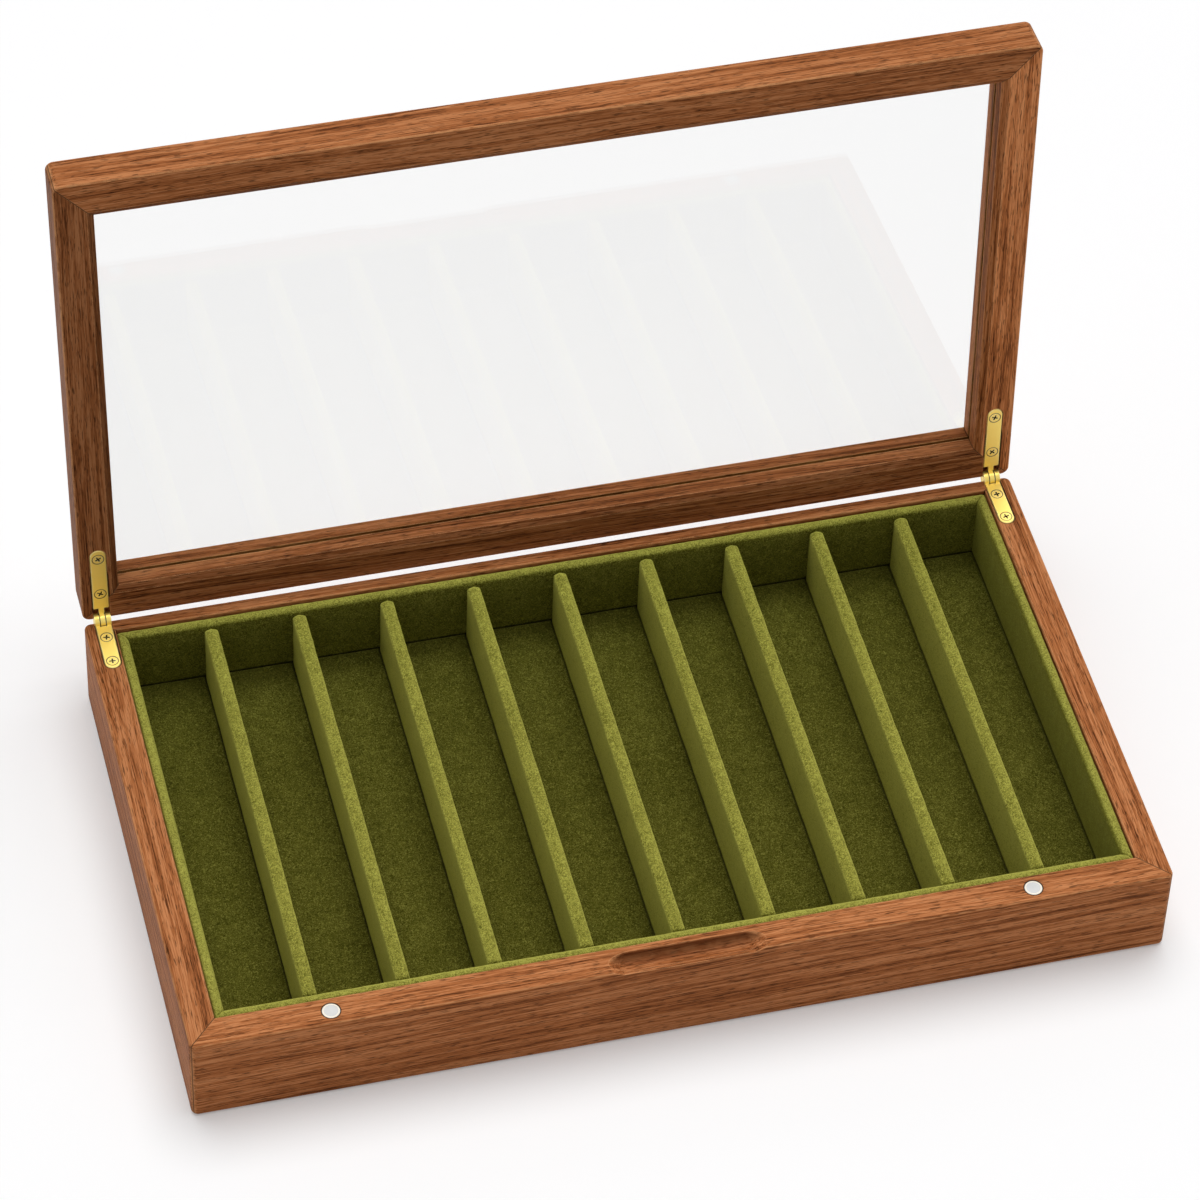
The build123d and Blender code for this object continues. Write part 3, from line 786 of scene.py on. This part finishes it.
def divider_mesh(low, high, liner, ruffle):
    """Points and faces of an upright velvet board with softly rounded edges and ends."""
    foot = low.z - 1.1 * liner.tuck
    half = (high.x - low.x) / 2
    centre_x = (high.x + low.x) / 2
    side_steps = 9
    round_steps = 6
    top_steps = 7
    points = []
    for t in eased(liner.stations):
        y = low.y + t * (high.y - low.y)
        end = min(y - low.y, high.y - y)
        half_here = half - fallen(end, liner.corner) * 0.98
        top = high.z - fallen(end, liner.end_round)
        radius = min(liner.corner, half_here * 0.95)
        shoulder = top - liner.crown
        left = [(-half_here, foot + (shoulder - radius - foot) * i / side_steps) for i in range(side_steps)]
        for down, inner in quarter_round(round_steps):
            left.append((-half_here + radius * inner, shoulder - radius * down))
        cap = []
        for i in range(1, top_steps):
            aside = 2 * i / top_steps - 1
            cap.append(((half_here - radius) * aside, shoulder + liner.crown * (1 - aside * aside)))
        for x, z in left + cap + [(-x, z) for x, z in reversed(left)]:
            outward = Vector((x / half, 0.0, max(0.0, (z - shoulder + radius) / radius)))
            outward.normalize()
            points.append(ruffled(Vector((centre_x + x, y, z)), outward, ruffle))
    columns = 2 * len(left) + len(cap)
    faces = [tuple(reversed(face)) for face in grid_faces(liner.stations, columns)]
    return points, faces + end_faces(liner.stations, columns)


# Operators


class Step:
    """Lets each step be undone."""

    bl_options = {"REGISTER", "UNDO"}


# Each board's tone, and where its piece of the wood is cut from. The lid's right rail is much lighter and its
# left rail much darker partly as painted light from the right.
BOARDS = {
    "case_front": (1.08, (0.31, 0.020, 0.013)), "case_back": (0.96, (1.17, 0.40, 0.21)),
    "case_left": (1.0, (2.23, 0.73, 0.44)), "case_right": (1.05, (3.41, 0.93, 0.62)),
    "lid_front": (0.98, (4.57, 1.31, 0.87)), "lid_back": (0.82, (5.72, 1.57, 1.03)),
    "lid_left": (0.70, (6.83, 1.83, 1.27)), "lid_right": (1.50, (7.97, 2.11, 1.49)),
}
# How far the grain turns to run along a board, and how far it tilts, in degrees.
GRAIN_TURNS = {"front": (0.0, 1.3), "back": (0.0, -0.9), "left": (-90.0, 1.3), "right": (-90.0, -0.9)}


def dress_frame(prefix, moves_with_lid, settings):
    """Walnut on the four rails of one frame, each with its own grain."""
    corners = frame_corners(prefix, moves_with_lid)
    for side, (turn, tilt) in GRAIN_TURNS.items():
        tone, shift = BOARDS[f"{prefix}_{side}"]
        tilted = Matrix.Rotation(math.radians(tilt), 4, "Y")
        grain = Matrix.Translation(shift) @ tilted @ Matrix.Rotation(math.radians(turn), 4, "Z")
        material = walnut_material(f"walnut_{prefix}_{side}", grain, corners, moves_with_lid, tone, settings)
        dress(material, f"{prefix}_{side}_rail")


class DressCaseRails(Step, bpy.types.Operator):
    """Oiled walnut on the four rails of the case"""

    bl_idname = "jewelry_case.case_rails"
    bl_label = "Case Rails"

    def execute(self, context):
        dress_frame("case", False, context.scene.walnut_settings)
        return {"FINISHED"}


class DressLidRails(Step, bpy.types.Operator):
    """Oiled walnut on the four rails of the lid"""

    bl_idname = "jewelry_case.lid_rails"
    bl_label = "Lid Rails"

    def execute(self, context):
        dress_frame("lid", True, context.scene.walnut_settings)
        return {"FINISHED"}


class DressBottomPanel(Step, bpy.types.Operator):
    """Plain walnut veneer on the bottom panel"""

    bl_idname = "jewelry_case.bottom_panel"
    bl_label = "Bottom Panel"

    def execute(self, context):
        settings = context.scene.walnut_settings
        material, nodes, shader = new_material("panel_veneer")
        figure = nodes.group(
            wood_grain, Place=nodes.object_place(),
            Pale=settings.pale, Body=settings.body, Dark=settings.dark)
        nodes.fill(
            shader, Base_Color=nodes.mix(1.0, figure["Color"], (0.8, 0.8, 0.8), "MULTIPLY"),
            Roughness=nodes.plus(figure["Roughness"], 0.6),
            Normal=nodes.bump(figure["Height"], settings.pore_depth))
        dress(material, "case_bottom_panel")
        return {"FINISHED"}


class DressGlass(Step, bpy.types.Operator):
    """Clear glass in the lid"""

    bl_idname = "jewelry_case.glass"
    bl_label = "Glass"

    def execute(self, context):
        dress(glass_material(context.scene.glass_settings), "lid_glass")
        return {"FINISHED"}


class DressHinges(Step, bpy.types.Operator):
    """Polished brass on the hinge leaves, their pins and screws"""

    bl_idname = "jewelry_case.hinges"
    bl_label = "Hinges"

    def execute(self, context):
        metal = context.scene.metal_settings

        def brass(name, amount, smooth, dark=None):
            return metal_material(name, metal.brass, metal.tarnish, amount, smooth, BRASS_EDGE_HIGHLIGHT, dark)

        for body, moves_with_lid in (("case", False), ("lid", True)):
            leaf = brass(f"brass_leaf_{body}", 0.12, 0.42, leaf_joints(body, moves_with_lid))
            dress(leaf, f"{body}_hinge_leaf_left", f"{body}_hinge_leaf_right")
            screws = f"{body}_hinge_screws"
            dress(brass(f"brass_screw_{body}", 0.22, 0.40, screw_recess(screws, moves_with_lid)), screws)
        dress(brass("brass_pin", 0.20, 0.26), "hinge_pin_left", "hinge_pin_right")
        return {"FINISHED"}


class DressMagnets(Step, bpy.types.Operator):
    """Nickel on the magnets and plain steel on their hidden keepers"""

    bl_idname = "jewelry_case.magnets"
    bl_label = "Magnets"

    def execute(self, context):
        metal = context.scene.metal_settings
        # The keepers get a painted highlight along their edges too.
        steel = metal_material(
            "keeper_disc", metal.steel, (0.3, 0.3, 0.3), amount=0.3, smooth=0.45, edge=(0.6, 0.6, 0.6))
        dress(magnet_material("nickel_disc", metal), "magnet_left", "magnet_right")
        dress(steel, "lid_keeper_left", "lid_keeper_right")
        return {"FINISHED"}


class MakeDividers(Step, bpy.types.Operator):
    """Nine upright velvet boards with round tops"""

    bl_idname = "jewelry_case.dividers"
    bl_label = "Dividers"

    def execute(self, context):
        velvet = context.scene.velvet_settings
        # The dividers are a lighter copy of the velvet, with painted light on their tops and on faces turned
        # left.
        material = velvet_material(
            "olive_velvet_dividers", velvet, board_foot, tone=1.04, turned=0.36, left_face_light=0.40, sheen=1.0)
        names = sorted(name for name in frame["nodes"] if name.startswith("divider_"))
        if not names:
            raise RuntimeError("the frame has no dividers")
        for name in names:
            points, faces = divider_mesh(*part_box(name), context.scene.liner_settings, velvet.ruffle)
            velvet_piece(name, f"velvet_{name}", points, faces, material)
        return {"FINISHED"}


WALL_OUTER_ROUND = 1.2 * MM
WALL_INNER_ROUND = 1.9 * MM
SEAM_WIDTH = 0.7 * MM
SEAM_DEPTH = 0.35 * MM
SEAM_REACH = 4 * MM


def wall_profile(thickness, foot, top):
    """Section of a liner board: distance from its outer face, and height, from foot to foot."""
    steps = 8
    bend = top - WALL_INNER_ROUND
    section = [(0.0, foot), (0.0, (foot + top) / 2)]
    for down, inner in quarter_round(steps + 1):
        section.append((WALL_OUTER_ROUND * inner, top - WALL_OUTER_ROUND * down))
    for down, inner in reversed(quarter_round(steps + 1)):
        section.append((thickness - WALL_INNER_ROUND * inner, top - WALL_INNER_ROUND * down))
    return section + [(thickness, bend + (foot - bend) * (i + 1) / steps) for i in range(steps)]


class MakeLinerWalls(Step, bpy.types.Operator):
    """Velvet boards round the inside of the case, mitred and sewn at the corners"""

    bl_idname = "jewelry_case.liner_walls"
    bl_label = "Liner Walls"

    def execute(self, context):
        velvet = context.scene.velvet_settings
        # The walls are a darker copy of the velvet, with painted shade on faces turned left.
        material = velvet_material(
            "olive_velvet_walls", velvet, board_foot, tone=0.90, turned=0.80, left_face_light=-0.55, sheen=0.6)
        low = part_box("liner_left")[0]
        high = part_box("liner_right")[1]
        low.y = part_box("liner_front")[0].y
        high.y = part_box("liner_back")[1].y
        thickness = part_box("liner_left")[1].x - low.x
        section = wall_profile(thickness, low.z, high.z)
        stations = 240
        size = high - low
        middle = Vector((thickness / 2, high.z - 2 * thickness))
        walls = (
            ("front", low.x, low.y, (1, 0, 0), size.x), ("right", high.x, low.y, (0, 1, 0), size.y),
            ("back", high.x, high.y, (-1, 0, 0), size.x), ("left", low.x, high.y, (0, -1, 0), size.y),
        )
        for side, x, y, heading, run in walls:
            corner = Vector((x, y, 0))
            along = Vector(heading)
            inward = Vector((-along.y, along.x, 0))
            points = []
            for t in eased(stations):
                seam = SEAM_DEPTH * max(0.0, 1 - min(t, 1 - t) * run / SEAM_WIDTH)
                for depth, height in section:
                    distance = depth + t * (run - 2 * depth)
                    sunk = seam if height > high.z - SEAM_REACH else 0.0
                    point = corner + along * distance + inward * depth + Vector((0, 0, height - sunk))
                    outward = inward * (depth - middle.x) + Vector((0, 0, max(0.0, height - middle.y) * 0.3))
                    outward.normalize()
                    points.append(ruffled(point, outward, velvet.ruffle))
            columns = len(section)
            faces = grid_faces(stations, columns) + end_faces(stations, columns)
            velvet_piece(f"liner_{side}", f"velvet_liner_{side}", points, faces, material)
        return {"FINISHED"}


FLOOR_STEP = 2.5 * MM
CLOSEST = 0.06 * MM
CREASE_OFFSETS = (0.0, 0.12 * MM, 0.28 * MM, 0.48 * MM, 0.75 * MM, 1.1 * MM, 1.6 * MM)


def crease_stations(low, high, creases):
    """Places from low to high: close together beside each crease and a step apart elsewhere."""
    count = math.ceil((high - low) / FLOOR_STEP)
    places = [low + (high - low) * i / count for i in range(count + 1)]
    for offset in CREASE_OFFSETS:
        for crease in creases:
            places += [crease + offset, crease - offset]
    kept = [low]
    for place in sorted(places):
        if kept[-1] + CLOSEST < place < high - CLOSEST:
            kept.append(place)
    return kept + [high]


class MakeFloorPad(Step, bpy.types.Operator):
    """Velvet floor, rounded down at its edges and pressed in at the feet of the boards"""

    bl_idname = "jewelry_case.floor_pad"
    bl_label = "Floor Pad"

    def execute(self, context):
        velvet = context.scene.velvet_settings
        tuck = context.scene.liner_settings.tuck
        low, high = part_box("liner_floor_pad")
        boards = [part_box(name) for name in frame["nodes"] if name.startswith("divider_")]
        creases = [low.x, high.x] + [corner.x for board in boards for corner in board]
        across = crease_stations(low.x, high.x, creases)
        along = crease_stations(low.y, high.y, [low.y, high.y])
        columns = len(across)
        points = []
        for y in along:
            for x in across:
                gaps = [x - low.x, high.x - x, y - low.y, high.y - y]
                gaps += [max(board[0].x - x, x - board[1].x, 0.0) for board in boards]
                point = Vector((x, y, high.z - fallen(min(gaps), tuck)))
                points.append(ruffled(point, Vector((0, 0, 1)), velvet.ruffle))
        faces = grid_faces(len(along), columns)
        first = len(points)
        rim = [
            *range(columns), *range(2 * columns - 1, first, columns),
            *range(first - 2, first - columns - 1, -1), *range(first - 2 * columns, 0, -columns)]
        points += [Vector((points[k].x, points[k].y, low.z)) for k in rim]
        count = len(rim)
        for j in range(count):
            k = (j + 1) % count
            faces.append((rim[k], rim[j], first + j, first + k))
        faces.append(tuple(reversed(range(first, first + count))))
        # The floor is a darker copy of the velvet, as painted shade.
        material = velvet_material("olive_velvet_floor", velvet, floor_joints, tone=velvet.floor_share)
        velvet_piece("liner_floor_pad", "velvet_floor", points, faces, material)
        return {"FINISHED"}


class MakeStage(Step, bpy.types.Operator):
    """White floor, soft light and the camera"""

    bl_idname = "jewelry_case.stage"
    bl_label = "Stage"

    def execute(self, context):
        scene = context.scene
        settings = scene.stage_settings
        self.make_floor(scene, settings)
        self.make_world(scene, settings)
        self.make_lamp(scene, settings)
        self.make_camera(scene, settings)
        scene.view_settings.view_transform = "Standard"
        return {"FINISHED"}

    def make_floor(self, scene, settings):
        half = 4.0
        below = -0.05 * MM
        corners = [(-half, -half, below), (half, -half, below), (half, half, below), (-half, half, below)]
        mesh = bpy.data.meshes.new("floor")
        mesh.from_pydata(corners, [], [(0, 1, 2, 3)])
        floor = bpy.data.objects.new("floor", mesh)
        scene.collection.objects.link(floor)
        material = bpy.data.materials.new("white_floor")
        nodes = bare_nodes(material)
        matt = nodes.fill(nodes.add("BsdfDiffuse"), Color=(0.80, 0.80, 0.805))
        glow = nodes.fill(nodes.add("Emission"), Strength=nodes.times(seen_share(nodes), settings.floor_lift))
        both = nodes.fill(nodes.add("AddShader"), matt.outputs[0], glow.outputs[0])
        nodes.fill(nodes.add("OutputMaterial"), both.outputs[0])
        mesh.materials.append(material)

    def make_world(self, scene, settings):
        world = bpy.data.worlds.new("studio")
        nodes = bare_nodes(world)
        lit = nodes.maths("MAXIMUM", seen_share(nodes), settings.fill)
        sky = nodes.fill(nodes.add("Background"), Strength=lit)
        nodes.fill(nodes.add("OutputWorld"), sky.outputs[0])
        scene.world = world

    def make_lamp(self, scene, settings):
        lamp = bpy.data.lights.new("overhead_light", "SUN")
        lamp.energy = settings.key
        lamp.angle = settings.key_width
        lamp_object = bpy.data.objects.new("overhead_light", lamp)
        lamp_object.rotation_mode = "QUATERNION"
        lamp_object.rotation_quaternion = Vector(settings.key_aim).to_track_quat("Z", "Y")
        lamp_object.location = Vector(settings.key_aim) * 1.5
        scene.collection.objects.link(lamp_object)

    def make_camera(self, scene, settings):
        turn = settings.azimuth
        rise = settings.elevation
        roll = settings.roll
        back = Vector((math.sin(turn) * math.cos(rise), -math.cos(turn) * math.cos(rise), math.sin(rise)))
        right = Vector((math.cos(turn), math.sin(turn), 0.0))
        up = back.cross(right)
        rolled_right = right * math.cos(roll) - up * math.sin(roll)
        rolled_up = up * math.cos(roll) + right * math.sin(roll)
        facing = Matrix((rolled_right, rolled_up, back)).transposed().to_4x4()
        data = bpy.data.cameras.new("camera")
        data.lens = settings.lens
        data.clip_start = 0.05
        data.clip_end = 50.0
        camera = bpy.data.objects.new("camera", data)
        camera.matrix_world = Matrix.Translation(Vector(settings.aim) + back * settings.distance) @ facing
        scene.collection.objects.link(camera)
        scene.camera = camera


def seen_share(nodes):
    """1 for rays from the camera, from gloss or through glass, and 0 for light that falls on things."""
    path = nodes.add("LightPath").outputs
    seen = nodes.maths("MAXIMUM", path["Is Camera Ray"], path["Is Glossy Ray"])
    return nodes.maths("MAXIMUM", seen, path["Is Transmission Ray"])


# Panel and registration


STEPS = (
    DressCaseRails, DressLidRails, DressBottomPanel, DressGlass, DressHinges, DressMagnets,
    MakeLinerWalls, MakeDividers, MakeFloorPad, MakeStage,
)
SETTINGS = {
    "walnut_settings": WalnutSettings, "velvet_settings": VelvetSettings, "metal_settings": MetalSettings,
    "glass_settings": GlassSettings, "liner_settings": LinerSettings, "stage_settings": StageSettings,
}


class JewelryCasePanel(bpy.types.Panel):
    """Lists the steps that dress the case and their settings"""

    bl_idname = "VIEW3D_PT_jewelry_case"
    bl_label = "Jewelry Case"
    bl_space_type = "VIEW_3D"
    bl_region_type = "UI"
    bl_category = "Jewelry Case"

    def draw(self, context):
        for step in STEPS:
            self.layout.operator(step.bl_idname)
        for name, settings in SETTINGS.items():
            box = self.layout.box()
            box.label(text=name.replace("_", " ").capitalize())
            for label in settings.__annotations__:
                box.prop(getattr(context.scene, name), label)


def register():
    for name, settings in SETTINGS.items():
        bpy.utils.register_class(settings)
        setattr(bpy.types.Scene, name, PointerProperty(type=settings))
    for step in STEPS:
        bpy.utils.register_class(step)
    bpy.utils.register_class(JewelryCasePanel)


def unregister():
    bpy.utils.unregister_class(JewelryCasePanel)
    for step in reversed(STEPS):
        bpy.utils.unregister_class(step)
    for name, settings in SETTINGS.items():
        delattr(bpy.types.Scene, name)
        bpy.utils.unregister_class(settings)


def main():
    register()
    for step in STEPS:
        family, name = step.bl_idname.split(".")
        getattr(getattr(bpy.ops, family), name)()


if __name__ == "__main__":
    main()
